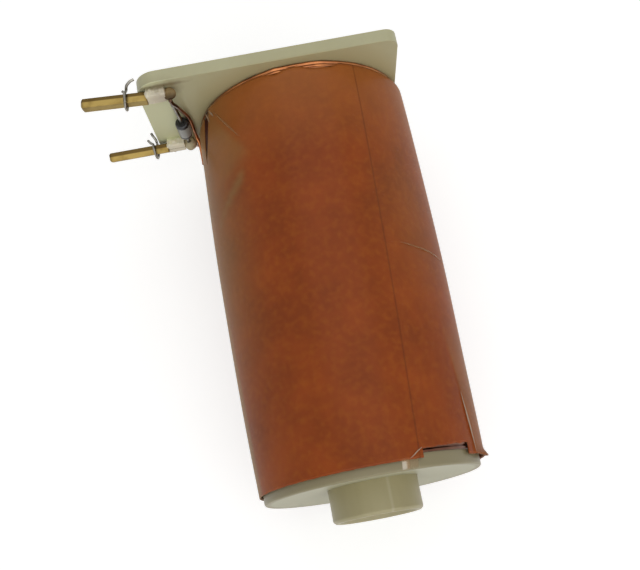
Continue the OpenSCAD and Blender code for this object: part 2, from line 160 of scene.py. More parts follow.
# Painted shade on the plate beside the winding, browned like light reflected off the wrapping, and on the
# foot's rim
near = add(tree, "ShaderNodeMapRange", {"Value": reach, "From Min": 21 * MM, "From Max": 27 * MM,
                                        "To Min": 0.34, "To Max": 0.0})
inner = add(tree, "ShaderNodeMapRange", {"Value": along, "From Min": -2.4 * MM, "From Max": -1.9 * MM,
                                         "To Min": 1.0, "To Max": 0.35})
near = add(tree, "ShaderNodeMath", {0: near.outputs[0], 1: inner.outputs[0]}, operation="MULTIPLY")
at_plate = add(tree, "ShaderNodeMath", {0: along, 1: -40 * MM}, operation="GREATER_THAN")
rim = add(tree, "ShaderNodeMapRange", {"Value": reach, "From Min": 18.8 * MM, "From Max": 19.4 * MM})
at_foot = add(tree, "ShaderNodeMath", {0: along, 1: -77 * MM}, operation="LESS_THAN")
# The ear is painted paler: painted light, standing in for light that comes through its thin nylon
clear = add(tree, "ShaderNodeMapRange", {"Value": parts.outputs["X"], "From Min": -25.5 * MM,
                                         "From Max": -21.5 * MM, "To Min": 0.8, "To Max": 0.0})
on_ear = add(tree, "ShaderNodeMath", {0: along, 1: -2.3 * MM}, operation="LESS_THAN")
# The bosses are painted whiter where the posts were pressed in, partly as painted light against their shade
pressed_and_lit = add(tree, "ShaderNodeMapRange", {"Value": along, "From Min": -3.4 * MM, "From Max": -2.6 * MM,
                                           "To Min": 0.92, "To Max": 0.0})
far_out = add(tree, "ShaderNodeMath", {0: reach, 1: BOSS_REACH * MM}, operation="GREATER_THAN")
for cover, where, tone in ((near, at_plate, NYLON_PAINTED_SHADE), (rim, at_foot, RIM_PAINTED_SHADE),
                           (clear, on_ear, EAR_PAINTED_LIGHT), (pressed_and_lit, far_out, NYLON_PRESSED_AND_LIT)):
    cover = add(tree, "ShaderNodeMath", {0: cover.outputs[0], 1: where.outputs[0]}, operation="MULTIPLY")
    shade = add(tree, "ShaderNodeMix", {0: cover.outputs[0], 6: shade.outputs[2], 7: linear(tone)},
                data_type="RGBA")
# A painted shadow runs along the top of the upper boss, and flux has pooled beside the joint
blot = add(tree, "ShaderNodeTexNoise", {"Vector": place, "Scale": 1 / (BLOT * MM), "Detail": 2})
for middle, squeeze, spread, strength in STAINS_AND_SHADOW:
    off = add(tree, "ShaderNodeVectorMath", {0: place, 1: [c * MM for c in middle]}, operation="SUBTRACT")
    off = add(tree, "ShaderNodeVectorMath", {0: off.outputs[0], 1: squeeze}, operation="MULTIPLY")
    off = add(tree, "ShaderNodeVectorMath", {0: off.outputs[0]}, operation="LENGTH")
    ragged = add(tree, "ShaderNodeMath", {0: blot.outputs["Fac"], 1: -BLOT_RAGGED * MM,
                                          2: off.outputs["Value"]}, operation="MULTIPLY_ADD")
    stain_and_shadow = add(tree, "ShaderNodeMapRange", {"Value": ragged.outputs[0], "From Min": 0.0,
                                             "From Max": spread * MM, "To Min": strength, "To Max": 0.0})
    shade = add(tree, "ShaderNodeMix", {0: stain_and_shadow.outputs[0], 6: shade.outputs[2], 7: linear(FLUX_AND_SHADOW)},
                data_type="RGBA")
tree.links.new(shade.outputs[2], shader.inputs["Base Color"])
grain = add(tree, "ShaderNodeTexNoise", {"Vector": place, "Scale": 1 / (MOULD_GRAIN * MM), "Detail": 2})
dents = add(tree, "ShaderNodeBump", {"Height": grain.outputs["Fac"], "Strength": 0.08, "Distance": 0.1 * MM})
tree.links.new(dents.outputs[0], shader.inputs["Normal"])
bobbin = softened("bobbin", MOULDED_EDGE, nylon)
# The bosses have sunk to about two thirds of their moulded height over the plate's face
face = PLATE_FACE * MM
corners = corners_of(bobbin)
over_face = corners[:, 1] < -face - 0.05 * MM
on_boss = over_face & (np.hypot(corners[:, 0], corners[:, 2]) > BOSS_REACH * MM)
corners[on_boss, 1] = (corners[on_boss, 1] + face) * BOSS_SUNK - face
bobbin.data.vertices.foreach_set("co", corners.ravel())
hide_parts("bobbin")
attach(bobbin, "coil")

# Winding: enamelled copper wire laid in layers from flange to flange. Its outline is a slight
# barrel, and its last turns show bare beside both flanges, each turn a ridge with a highlight.
WIRE = 0.75
FOOT_FACE = 78.0
CORE_RADIUS = 9.7
PLATE_DIAMETER = 42.5
MIDDLE_DIAMETER = 43.4
FOOT_DIAMETER = 41.5
SETTLED = 0.06
SLACK = 0.035
END_TURNS = 8
TURN_STEPS = 8
MIDDLE_STEPS = 12
# Angle, spread and height of the places where the last turns at the plate have come loose
LOOSE_PLACES = ((101, 4, 0.28), (77, 7, 0.22))
LOOSE_TURNS = 2.4
ENAMEL_PATCH = 3.0
COPPER = "#bd7842"
ENAMEL_DARK = "#82451b"
VARNISH_AND_SHADE = "#3c1608"
ENAMEL_BURNT = "#2c1e0c"


def barrel(depth):
    """The winding's radius at a depth: the parabola through its diameters at plate, middle and foot."""
    t = (depth - PLATE_FACE) / (FOOT_FACE - PLATE_FACE)
    ends = PLATE_DIAMETER * (1 - t) * (1 - 2 * t) + FOOT_DIAMETER * t * (2 * t - 1)
    return (ends + MIDDLE_DIAMETER * 4 * t * (1 - t)) / 2


def placed(x, y, z):
    """Points in metres on a grid, from x, y and z in mm that each vary along rows, columns or both."""
    return np.stack(np.broadcast_arrays(x, y, z), -1) * MM


def round_coil(radius, angle, depth):
    """Points at a radius and an angle round the coil's axis and at a depth: x is the radius times the
    cosine, z the radius times the sine, and y the depth below zero."""
    turn = np.radians(angle)
    return placed(radius * np.cos(turn), -depth, radius * np.sin(turn))


def surface(name, points, finish_made, rows_join=False, columns_join=False, capped=False):
    """A mesh over a grid of points, rows by columns: one quad a cell, with the first and last row or
    column joined where asked, and a cap over the first and last row where asked. A closed mesh is
    turned outwards by the sign of its volume."""
    rows, columns = points.shape[:2]
    i, j = np.meshgrid(np.arange(rows - (not rows_join)), np.arange(columns - (not columns_join)),
                       indexing="ij")
    down, right = (i + 1) % rows, (j + 1) % columns
    quads = np.stack([i * columns + j, i * columns + right, down * columns + right, down * columns + j], -1)
    quads = quads.reshape(-1, 4)
    flat = points.reshape(-1, 3)
    a, b, c, d = (flat[quads[:, k]] for k in range(4))
    volume = np.einsum("ij,ij->", np.cross(a, b), c) + np.einsum("ij,ij->", np.cross(a, c), d)
    faces = quads.tolist()
    if capped:
        faces.append(list(range(columns))[::-1])
        faces.append(list(range((rows - 1) * columns, rows * columns)))
    if volume < 0:
        faces = [face[::-1] for face in faces]
    mesh = bpy.data.meshes.new(name)
    mesh.from_pydata(flat.tolist(), [], faces)
    mesh.polygons.foreach_set("use_smooth", np.ones(len(mesh.polygons), bool))
    mesh.materials.append(finish_made)
    mesh.update()
    piece = bpy.data.objects.new(name, mesh)
    bpy.context.scene.collection.objects.link(piece)
    return piece


# Copper under brown enamel: a metal colour with a clear coat, unevenly browned from turn to turn
copper, tree, shader = finish("Enamelled copper", {"Metallic": 1.0, "Roughness": 0.28, "Coat Weight": 0.6,
                                                   "Coat Roughness": 0.12})
place = add(tree, "ShaderNodeTexCoord", {}).outputs["Object"]
parts = add(tree, "ShaderNodeSeparateXYZ", {0: place})
patch = add(tree, "ShaderNodeTexNoise", {"Vector": place, "Scale": 1 / (ENAMEL_PATCH * MM), "Detail": 3})
brown = add(tree, "ShaderNodeMapRange", {"Value": patch.outputs["Fac"], "From Min": 0.35, "From Max": 0.7})
shade = add(tree, "ShaderNodeMix", {0: brown.outputs[0], 6: linear(COPPER), 7: linear(ENAMEL_DARK)},
            data_type="RGBA")
# The last turns beside the foot are painted dark: varnish pooled there, and painted shade in the gap under
# the torn paper
pooled_and_shaded = add(tree, "ShaderNodeMapRange", {"Value": parts.outputs["Y"], "From Min": -77.2 * MM,
                                          "From Max": -76.2 * MM, "To Min": 0.85, "To Max": 0.0})
# The finish lead's end was burnt dark when it was soldered to the upper post
outside = add(tree, "ShaderNodeMath", {0: parts.outputs["X"], 1: -22.6 * MM}, operation="LESS_THAN")
burnt = add(tree, "ShaderNodeMapRange", {"Value": parts.outputs["Z"], "From Min": 15 * MM,
                                         "From Max": 18 * MM, "To Max": 0.85})
burnt = add(tree, "ShaderNodeMath", {0: outside.outputs[0], 1: burnt.outputs[0]}, operation="MULTIPLY")
for cover, tone in ((pooled_and_shaded, VARNISH_AND_SHADE), (burnt, ENAMEL_BURNT)):
    shade = add(tree, "ShaderNodeMix", {0: cover.outputs[0], 6: shade.outputs[2], 7: linear(tone)},
                data_type="RGBA")
tree.links.new(shade.outputs[2], shader.inputs["Base Color"])

bare = END_TURNS * WIRE
steps = TURN_STEPS * END_TURNS + 1
depth = np.concatenate([[PLATE_FACE], np.linspace(PLATE_FACE, PLATE_FACE + bare, steps),
                        np.linspace(PLATE_FACE + bare + 2, FOOT_FACE - bare - 2, MIDDLE_STEPS),
                        np.linspace(FOOT_FACE - bare, FOOT_FACE, steps), [FOOT_FACE]])[:, None]
angle = np.linspace(0, 360, 300, endpoint=False)[None, :]
# Each turn is half a circle over the layer, sunk by its own slack
turn = depth / WIRE - angle / 360
across = WIRE * (turn % 1 - 0.5)
slack = np.random.default_rng(5).normal(0, SLACK, 200)[np.floor(turn).astype(int) % 200]
ridge = np.sqrt(np.maximum((WIRE / 2) ** 2 - across ** 2, 0))
radius = barrel(depth) - SETTLED - WIRE / 2 + ridge - np.abs(slack)
loose = sum(height * np.exp(-((angle - at) / spread) ** 2) for at, spread, height in LOOSE_PLACES)
at_last_turns = np.clip((PLATE_FACE + LOOSE_TURNS * WIRE - depth) / WIRE, 0, 1)
off_plate = np.clip((depth - PLATE_FACE) / 0.2, 0, 1)
radius = radius + loose * at_last_turns * off_plate
radius[[0, -1]] = CORE_RADIUS
points = round_coil(radius, angle, depth)
winding = surface("winding_turns", points, copper, rows_join=True, columns_join=True)
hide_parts("winding")
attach(winding, "coil")

# Bosses: the ear's two bosses were softened when the posts were pressed in hot, and their nylon has
# set again in a lumpy, whitened skin around the posts; part of that whiteness is painted light.
POST_HEIGHTS = {"upper": 20.3, "lower": -0.2}
BOSS_FROM = 28.65
BOSS_TO = 24.9
BOSS_HALF = 1.55
BOSS_DEPTH = 3.45
t = np.linspace(0, 1, 40)[:, None]
turn = np.linspace(0, 2 * np.pi, 64, endpoint=False)[None, :]
# A rounded square drawn in at both ends, carried along the post with three waves of lumps on it
swell = 1 - 0.22 * np.abs(2 * t - 1) ** 5
corner = (np.abs(np.cos(turn)) ** 5 + np.abs(np.sin(turn)) ** 5) ** -0.2
for name, z in POST_HEIGHTS.items():
    lump = 0.09 * np.sin(3 * turn + 9 * t + z) + 0.07 * np.sin(5 * turn - 14 * t)
    lump = lump + 0.06 * np.sin(2 * turn + 23 * t)
    radius = (BOSS_HALF + lump) * corner * swell
    x = -BOSS_FROM + (BOSS_FROM - BOSS_TO) * t + 0.12 * np.sin(2 * turn + z)
    y = -BOSS_DEPTH + BOSS_SUNK * (1 - 0.25 * t) * radius * np.cos(turn)
    points = placed(x, y, z + radius * np.sin(turn))
    skin = surface("boss_skin_" + name, points, nylon, columns_join=True, capped=True)
    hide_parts("bobbin")
    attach(skin, "coil")

# Paper: brown insulating paper wound tight over the wire. It is cut back where the leads come
# out, slit lengthwise beside them, and torn at the foot, where a strip has come a little loose.
PAPER = 0.25
WRAP_FROM = 3.4
WRAP_TO = 78.9
LEAD_SLIT = (152.0, 212.0)
LEAD_SLIT_TO = 4.25
FINISH_SLOT = (175.0, 187.0)
FINISH_SLOT_TO = 9.4
LONG_SLIT = 150.0
LONG_SLIT_HALF = 3.4
LONG_SLIT_TO = 13.0
LONG_SLIT_SINK = 0.2
SLANT = 8.0
SLANT_OVER = 8.35
FOOT_SLIT = (35.0, 66.0)
FOOT_SLIT_FROM = 76.9
FLAP = 17.0
SEAM_AT_PLATE = 59.0
SEAM_AT_FOOT = 68.0
SEAM_LENGTH = 75.7
# Folds of the film over the paper, as angle and depth of their ends
UPPER_FOLD = ((141.5, 5.2), (125.6, 13.7))
LOWER_FOLD = ((124.5, 20.9), (155.5, 29.0))
PAPER_CLOUD = 9.0
PAPER_FIBRE = 1.2
PAPER_BROWN = "#9c4716"
PAPER_DARK = "#873c11"
PAPER_WARM = "#b1601a"
PAPER_FADED = "#b37439"
PAPER_SEAM = "#54260e"
PAPER_HAZE_AND_SHEEN = "#917b48"
PAPER_UNDER_SHADE = "#3a120a"
PAPER_SHEEN = "#c4c8a0"


def ease(x, low, high):
    """Smooth step from 0 at low to 1 at high: 3 t squared less 2 t cubed."""
    t = np.clip((x - low) / (high - low), 0, 1)
    return t * t * (3 - 2 * t)


def past_strip_fold(angle, depth):
    """Degrees past the fold that bounds the loose strip at the foot, which runs askew by 0.42 a mm."""
    return 33.5 - 0.42 * (depth - 69.5) - angle


def past_fold(fold, angle, depth):
    """Depth below the straight line through a fold's two ends."""
    (a0, h0), (a1, h1) = fold
    return depth - h0 - (h1 - h0) * (angle - a0) / (a1 - a0)


def looseness(angle, depth):
    """How far the wrapping stands off the wire: slow waves, the lips of the long slit, and the loose
    strip at the foot with the torn flap that stands out at its end."""
    off = 0.04 * np.sin(np.radians(5 * angle) + depth / 9) * np.sin(depth / 13 + 1) + 0.04
    lips = 0.12 * np.exp(-np.abs(angle - LONG_SLIT) / 4) * (1 - ease(depth, 8, 15))
    beside = past_strip_fold(angle, depth)
    strip = 0.3 * ease(beside, 0, 1.6) * (1 - ease(beside, 12, 40)) * ease(depth, 56, 79)
    flap = 0.9 * np.exp(-((angle - FLAP) / 6) ** 2) * ease(depth, 76.6, 79.4) ** 2
    return off + lips + strip + flap


def gathered(*spans):
    """Angles once round the coil: a column every degree, and a close group around each given angle."""
    close = np.concatenate([[s - 0.3, s - 0.05, s + 0.05, s + 0.3] for s in spans])
    return np.unique(np.concatenate([np.arange(0, 360, 1.0), close]).round(3))


def wrap_edges(angle, tear):
    """Depths of the wrapping's two ends: the plate end set back over the loose turns and cut at the
    leads, and the foot end torn out beside the seam. tear in mm makes the cut edges uneven, by three
    sine waves round the coil."""
    turn = np.radians(angle)
    rough = tear * (np.sin(37 * turn) + np.sin(61 * turn + 1) + 0.6 * np.sin(113 * turn))
    set_back = 0.9 * np.exp(-((angle - 78) / 9) ** 4) + 0.7 * np.exp(-((angle - 101) / 5) ** 2)
    top = WRAP_FROM + set_back + 0.3 * rough
    top = np.where((angle > LEAD_SLIT[0]) & (angle < LEAD_SLIT[1]), LEAD_SLIT_TO + rough, top)
    top = np.where((angle > FINISH_SLOT[0]) & (angle < FINISH_SLOT[1]), FINISH_SLOT_TO + rough, top)
    low = WRAP_TO + 0.3 * rough + 0.4 * np.exp(-((angle - FLAP) / 5) ** 2)
    torn = FOOT_SLIT_FROM + 0.5 * (angle - FOOT_SLIT[0]) / (FOOT_SLIT[1] - FOOT_SLIT[0]) + rough
    low = np.where((angle > FOOT_SLIT[0]) & (angle < FOOT_SLIT[1]), torn, low)
    return top, low


def slanted(angle, depth):
    """Angles carried sideways with depth, most at the long slit, so that the slit runs askew."""
    share = np.clip((depth - LEAD_SLIT_TO) / SLANT_OVER, 0, 1)
    return angle + SLANT * share * np.exp(-((angle - LONG_SLIT) / 13) ** 2)


def marked(piece, name, values):
    """Gives each vertex of a piece a number under a name, for its material."""
    layer = piece.data.attributes.new(name, "FLOAT", "POINT")
    layer.data.foreach_set("value", np.ascontiguousarray(values, np.float32).ravel())


def slit_through(angle, depth):
    """1 inside the long slit, before the slant, and 0 outside: a strip whose half width shrinks to
    nothing with the fourth power of its depth."""
    t = np.clip((depth - WRAP_FROM) / (LONG_SLIT_TO - WRAP_FROM), 0, 1)
    return (np.abs(angle - LONG_SLIT) < LONG_SLIT_HALF * (1 - t ** 4)) * (depth < LONG_SLIT_TO)


def tent(angle, depth):
    """1 where the film stands off between the two folds beside the leads, easing to 0 at each."""
    below = ease(past_fold(UPPER_FOLD, angle, depth), 0, 3)
    return below * ease(-past_fold(LOWER_FOLD, angle, depth), 0, 6) * (1 - ease(angle, 172, 190))


def haze_and_sheen(angle, depth):
    """How far the film over the paper hides it: down the leads' side, between the two folds there and
    along the lower one, in a patch beside the film's lap, and on the loose strip at the foot. From 157
    degrees on round the back it also holds a painted sheen of the film."""
    round_back = 1 - ease(angle, 190, 230)
    left = ease(angle, 116, 160) * round_back * (1 - 0.85 * ease(depth, 32, 68))
    painted_sheen = ease(angle, 157, 165) * round_back
    start, end = LOWER_FOLD[0][0], LOWER_FOLD[1][0]
    on_fold = ease(angle, start - 1, start + 5) * (1 - ease(angle, end - 4, end + 2))
    ridge = np.exp(-(past_fold(LOWER_FOLD, angle, depth) / 1.5) ** 2) * on_fold
    right = np.exp(-((angle - 42) / 18) ** 2 - ((depth - 33) / 16) ** 2)
    beside = past_strip_fold(angle, depth)
    strip = ease(beside, 0, 2) * (1 - ease(beside, 25, 45)) * ease(depth, 52, 64)
    hazed_and_sheen = np.maximum(np.maximum(0.42 * left, 0.36 * tent(angle, depth)), 0.45 * painted_sheen)
    return np.maximum(hazed_and_sheen, 0.5 * ridge) + 0.16 * right + 0.2 * strip


# Kraft paper dyed brown: mottled in clouds, with short fibres, and faded towards the plate. Its clear
# coat is the gloss of the film that lies on it, and its haze the film standing a little off, with a
# painted sheen of the film from 157 degrees round
paper, tree, shader = finish("Brown insulating paper", {
    "Roughness": 0.6, "Specular IOR Level": 0.08, "Coat Weight": 0.18, "Coat Roughness": 0.25,
    "Sheen Weight": 0.32, "Sheen Roughness": 0.2, "Sheen Tint": linear(PAPER_SHEEN)})
place = add(tree, "ShaderNodeTexCoord", {}).outputs["Object"]
parts = add(tree, "ShaderNodeSeparateXYZ", {0: place})
cloud = add(tree, "ShaderNodeTexNoise", {"Vector": place, "Scale": 1 / (PAPER_CLOUD * MM), "Detail": 5,
                                         "Roughness": 0.65})
dark = add(tree, "ShaderNodeMapRange", {"Value": cloud.outputs["Fac"], "From Min": 0.36, "From Max": 0.68})
shade = add(tree, "ShaderNodeMix", {0: dark.outputs[0], 6: linear(PAPER_DARK), 7: linear(PAPER_BROWN)},
            data_type="RGBA")
fibre = add(tree, "ShaderNodeTexNoise", {"Vector": place, "Scale": 1 / (PAPER_FIBRE * MM), "Detail": 3})
warm = add(tree, "ShaderNodeMapRange", {"Value": fibre.outputs["Fac"], "From Min": 0.45, "From Max": 0.85,
                                        "To Max": 0.4})
faded = add(tree, "ShaderNodeMapRange", {"Value": parts.outputs["Y"], "From Min": -22 * MM,
                                         "From Max": -3 * MM, "To Max": 0.45})
# A fine dark line shows where the film's end edge is stuck down, a little askew along the coil
round_at = add(tree, "ShaderNodeMath", {0: parts.outputs["Z"], 1: parts.outputs["X"]}, operation="ARCTAN2")
askew = np.radians(SEAM_AT_FOOT - SEAM_AT_PLATE) / (SEAM_LENGTH * MM)
straight = add(tree, "ShaderNodeMath", {0: parts.outputs["Y"], 1: askew, 2: round_at.outputs[0]},
               operation="MULTIPLY_ADD")
off_seam = add(tree, "ShaderNodeMath", {0: straight.outputs[0], 1: np.radians(SEAM_AT_PLATE - 0.38)},
               operation="SUBTRACT")
off_seam = add(tree, "ShaderNodeMath", {0: off_seam.outputs[0]}, operation="ABSOLUTE")
line = add(tree, "ShaderNodeMapRange", {"Value": off_seam.outputs[0], "From Min": 0.004, "From Max": 0.011,
                                        "To Min": 0.38, "To Max": 0.0})
# The film's haze and painted sheen, and the inner layer in the slit, painted near black as shade
hazed_and_sheen = add(tree, "ShaderNodeAttribute", {}, attribute_name="haze").outputs["Fac"]
slit = add(tree, "ShaderNodeAttribute", {}, attribute_name="cut").outputs["Fac"]
for share, tone in ((warm.outputs[0], PAPER_WARM), (faded.outputs[0], PAPER_FADED),
                    (line.outputs[0], PAPER_SEAM), (hazed_and_sheen, PAPER_HAZE_AND_SHEEN), (slit, PAPER_UNDER_SHADE)):
    shade = add(tree, "ShaderNodeMix", {0: share, 6: shade.outputs[2], 7: linear(tone)}, data_type="RGBA")
tree.links.new(shade.outputs[2], shader.inputs["Base Color"])

slit_columns = np.linspace(LONG_SLIT - LONG_SLIT_HALF, LONG_SLIT + LONG_SLIT_HALF, 11)
angle = gathered(*LEAD_SLIT, *FINISH_SLOT, *FOOT_SLIT, *slit_columns)[None, :]
top, low = wrap_edges(angle, 0.05)
share = np.concatenate([np.linspace(0, 0.12, 20), np.linspace(0.135, 0.87, 44), np.linspace(0.885, 1, 20)])
depth = top + share[:, None] * (low - top)
cut = slit_through(angle, depth)
angle = slanted(angle, depth)
outer = barrel(depth) + PAPER + looseness(angle, depth)
points = np.concatenate([round_coil(outer - LONG_SLIT_SINK * cut, angle, depth),
                         round_coil(outer - PAPER, angle, depth)[::-1]])
wrap = surface("paper_layers", points, paper, rows_join=True, columns_join=True)
for mark, values in (("cut", cut), ("haze", haze_and_sheen(angle, depth))):
    marked(wrap, mark, np.concatenate([values, values[::-1]]))
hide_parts("paper_wrap")
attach(wrap, "coil")

# Film: clear polyester film wound once and a bit over the paper. Beside the leads it stands off
# the paper between two folds, and at the foot a tab of it is stuck down over the flange's rim.
FILM = 0.05
FILM_OFF = 0.03
LAP = 55.0
TAB = (69.0, 77.0)
TAB_LENGTH = 1.5
TAB_SINK = 0.6
TENT_OFF = 0.3
FILM_TINT = "#b08458"
FILM_WHITE = "#e2d9c6"


def milkiness(angle, depth):
    """How milky the film is: at its creased corner by the plate, and on the tab, whose corner is whitest."""
    corner = np.exp(-((angle - 147.5) / 3) ** 2 - ((depth - 4.6) / 1.4) ** 2)
    tab = ease(depth, WRAP_TO, WRAP_TO + 0.3) * (0.12 + 0.4 * ease(angle, 73, 75))
    return 0.3 * corner * (corner > 0.2) + tab


# Polyester film: glossy, clear where it lies flat, and milky where it is creased
film, tree, shader = finish("Clear polyester film", {"Roughness": 0.32, "IOR": 1.5,
                                                     "Specular IOR Level": 0.2})
milk = add(tree, "ShaderNodeAttribute", {}, attribute_name="milk")
veil = add(tree, "ShaderNodeMath", {0: 0.008, 1: milk.outputs["Fac"]}, operation="ADD", use_clamp=True)
tree.links.new(veil.outputs[0], shader.inputs["Alpha"])
creased = add(tree, "ShaderNodeMapRange", {"Value": milk.outputs["Fac"], "From Min": 0.32, "From Max": 0.55})
shade = add(tree, "ShaderNodeMix", {0: creased.outputs[0], 6: linear(FILM_TINT), 7: linear(FILM_WHITE)},
            data_type="RGBA")
tree.links.new(shade.outputs[2], shader.inputs["Base Color"])

# Columns run back from the film's end edge, all the way round and on under the lap
share = np.concatenate([np.linspace(0, 0.2, 34), np.linspace(0.23, 0.85, 26), np.linspace(0.87, 1, 18)])
share = share[:, None]
cuts = (*LEAD_SLIT, *FINISH_SLOT, *FOOT_SLIT, *TAB, LONG_SLIT - LONG_SLIT_HALF, LONG_SLIT + LONG_SLIT_HALF)
close = np.concatenate([[a - 0.05, a + 0.05] for a in cuts])
steps = np.concatenate([np.arange(0, 360 + LAP, 1.25), (SEAM_AT_PLATE - close) % 360, [360 + LAP]])
back = np.unique(steps.round(3))[::-1][None, :]
angle = SEAM_AT_PLATE + (SEAM_AT_FOOT - SEAM_AT_PLATE) * share * np.exp(-back / 40) - back
turned = angle % 360
top, low = wrap_edges(turned, 0.07)
on_tab = (turned > TAB[0]) & (turned < TAB[1])
depth = top - 0.05 + share * (low - top + on_tab * TAB_LENGTH)
opened = slit_through(turned, depth)
aside = slanted(turned, depth) - turned
angle, turned = angle + aside, turned + aside
held = np.minimum(depth, WRAP_TO)
outer = barrel(held) + PAPER + FILM_OFF + looseness(turned, held)
outer = outer + TENT_OFF * tent(turned, depth) * (1 - ease(turned, 146, 151.5))
outer = outer + (FILM + FILM_OFF) * ease(-back, -LAP - 6, -LAP) + 0.05 * np.exp(-back / 1.2)
outer = outer - TAB_SINK * ease(depth, WRAP_TO, WRAP_TO + TAB_LENGTH)
points = np.concatenate([round_coil(outer + FILM, angle, depth), round_coil(outer, angle, depth)[::-1]])
sheet = surface("film_layer", points.swapaxes(0, 1), film, columns_join=True, capped=True)
# The film under the lap is stuck down and shows no surface of its own, and in the slit there is none
milk = milkiness(turned, depth) - ((back > 360) | opened)
marked(sheet, "milk", np.concatenate([milk, milk[::-1]]).T)
# Clear film neither shades nor tints what lies under it
sheet.visible_shadow = False
sheet.visible_diffuse = False
sheet.visible_glossy = False
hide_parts("clear_film")
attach(sheet, "coil")

# Creases: the film is pressed into sharp folds beside the leads, over the lap, at the foot and on
# its tab. Each is a thin milky ridge that catches the light.
CREASE_RADIUS = 21.9
CREASE_OFF = 0.14
# Ends of each crease as angle and depth, how milky it is, and its half width
CREASES = {
    "upper": (*UPPER_FOLD, 0.26, 0.25),
    "foot": ((33.4, 68.0), (28.8, 78.6), 0.45, 0.25),
    "right": ((55.0, 40.6), (17.0, 42.4), 0.27, 0.2),
    "tab": ((73.0, 78.75), (66.2, 77.2), 0.45, 0.1),
    "corner_a": ((149.6, 3.9), (146.4, 6.6), 0.42, 0.25),
    "corner_b": ((145.8, 4.2), (141.9, 6.2), 0.42, 0.2),
}
t = np.linspace(0, 1, 40)[:, None]
over = np.linspace(0, 2 * np.pi, 10, endpoint=False)[None, :]
for name, ((a0, h0), (a1, h1), milk, half) in CREASES.items():
    angle = a0 + (a1 - a0) * t
    depth = h0 + (h1 - h0) * t + 0.25 * np.sin(7 * t) * t * (1 - t)
    # A flat ellipse carried along the fold, square to its lean over the paper, and thin at both ends
    width = half * np.sin(np.pi * (0.06 + 0.88 * t))
    lean = np.arctan2(h1 - h0, np.radians(a1 - a0) * CREASE_RADIUS)
    swing = np.degrees(width * np.cos(over) / CREASE_RADIUS)
    radius = barrel(depth) + PAPER + CREASE_OFF + looseness(angle, depth) + 0.3 * width * np.sin(over)
    points = round_coil(radius, angle - swing * np.sin(lean), depth + width * np.cos(over) * np.cos(lean))
    ridge = surface("film_crease_" + name, points, film, columns_join=True, capped=True)
    marked(ridge, "milk", np.full(points.shape[:2], milk))
    ridge.visible_shadow = False
    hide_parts("clear_film")
    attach(ridge, "coil")

# Posts: square posts cut from drawn brass and pressed into the ear's bosses, the upper one
# leaning a little and the lower one turned. Drawing leaves fine lines along them; they are dull.
POST_DEPTH = 3.9
POST_EDGE = 0.12
SHANK_FROM = 28.5
SHANK_STEP = 0.1
SHANK_SHARE = 0.5
DRAWN_LINE = 0.25
DULL_PATCH = 2.2
# Each post's sides towards the plate are painted dark, as painted shade and dark reflection: the
# direction across the post to them, its value on the post's own line, and how far off that line the dark
# starts
PAINTED_DARK_SIDES = {
    "upper": ((0.07, 1.0, 0.0), -5.79, 0.1),
    "lower": ((0.0, 0.857, 0.515), -3.445, 0.15),
}
BRASS = "#97814a"
BRASS_DULL = "#776233"
BRASS_PAINTED_DARK = "#3f2e17"
for which, z in POST_HEIGHTS.items():
    # Drawn brass: a dull metal, greyed in patches, one side painted with shade and dark reflection, with
    # lines coarse enough to show
    brass, tree, shader = finish("Drawn brass " + which, {"Metallic": 1.0, "Roughness": 0.38})
    place = add(tree, "ShaderNodeTexCoord", {}).outputs["Object"]
    dull = add(tree, "ShaderNodeTexNoise", {"Vector": place, "Scale": 1 / (DULL_PATCH * MM), "Detail": 3})
    dull = add(tree, "ShaderNodeMapRange", {"Value": dull.outputs["Fac"], "From Min": 0.42, "From Max": 0.72})
    shade = add(tree, "ShaderNodeMix", {0: dull.outputs[0], 6: linear(BRASS), 7: linear(BRASS_DULL)},
                data_type="RGBA")
    across, on_line, start = PAINTED_DARK_SIDES[which]
    off_line = add(tree, "ShaderNodeVectorMath", {0: place, 1: across}, operation="DOT_PRODUCT")
    band = add(tree, "ShaderNodeMapRange", {"Value": off_line.outputs["Value"], "To Max": 0.8,
                                            "From Min": (on_line + start) * MM,
                                            "From Max": (on_line + start + 0.15) * MM})
    shade = add(tree, "ShaderNodeMix", {0: band.outputs[0], 6: shade.outputs[2], 7: linear(BRASS_PAINTED_DARK)},
                data_type="RGBA")
    tree.links.new(shade.outputs[2], shader.inputs["Base Color"])
    drawn = add(tree, "ShaderNodeMapping", {"Vector": place, "Scale": (0.04, 1.0, 1.0)})
    lines = add(tree, "ShaderNodeTexNoise", {"Vector": drawn.outputs[0], "Scale": 1 / (DRAWN_LINE * MM),
                                             "Detail": 2})
    scratch = add(tree, "ShaderNodeBump", {"Height": lines.outputs["Fac"], "Strength": 0.15,
                                           "Distance": 0.05 * MM})
    tree.links.new(scratch.outputs[0], shader.inputs["Normal"])
    name = "terminal_post_" + which
    post = softened(name, POST_EDGE, brass)
    # Inside its boss the post is cut down to a thinner shank
    b = bmesh.new()
    b.from_mesh(post.data)
    for x in (SHANK_FROM, SHANK_FROM - SHANK_STEP):
        bmesh.ops.bisect_plane(b, geom=b.verts[:] + b.edges[:] + b.faces[:], plane_co=(-x * MM, 0, 0),
                               plane_no=(1, 0, 0))
    b.to_mesh(post.data)
    b.free()
    corners = corners_of(post)
    shank = corners[:, 0] > -(SHANK_FROM - SHANK_STEP / 2) * MM
    middle = np.array([-POST_DEPTH, z]) * MM
    corners[shank, 1:] = middle + (corners[shank, 1:] - middle) * SHANK_SHARE
    post.data.vertices.foreach_set("co", corners.ravel())
    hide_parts(name)
    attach(post, "coil")

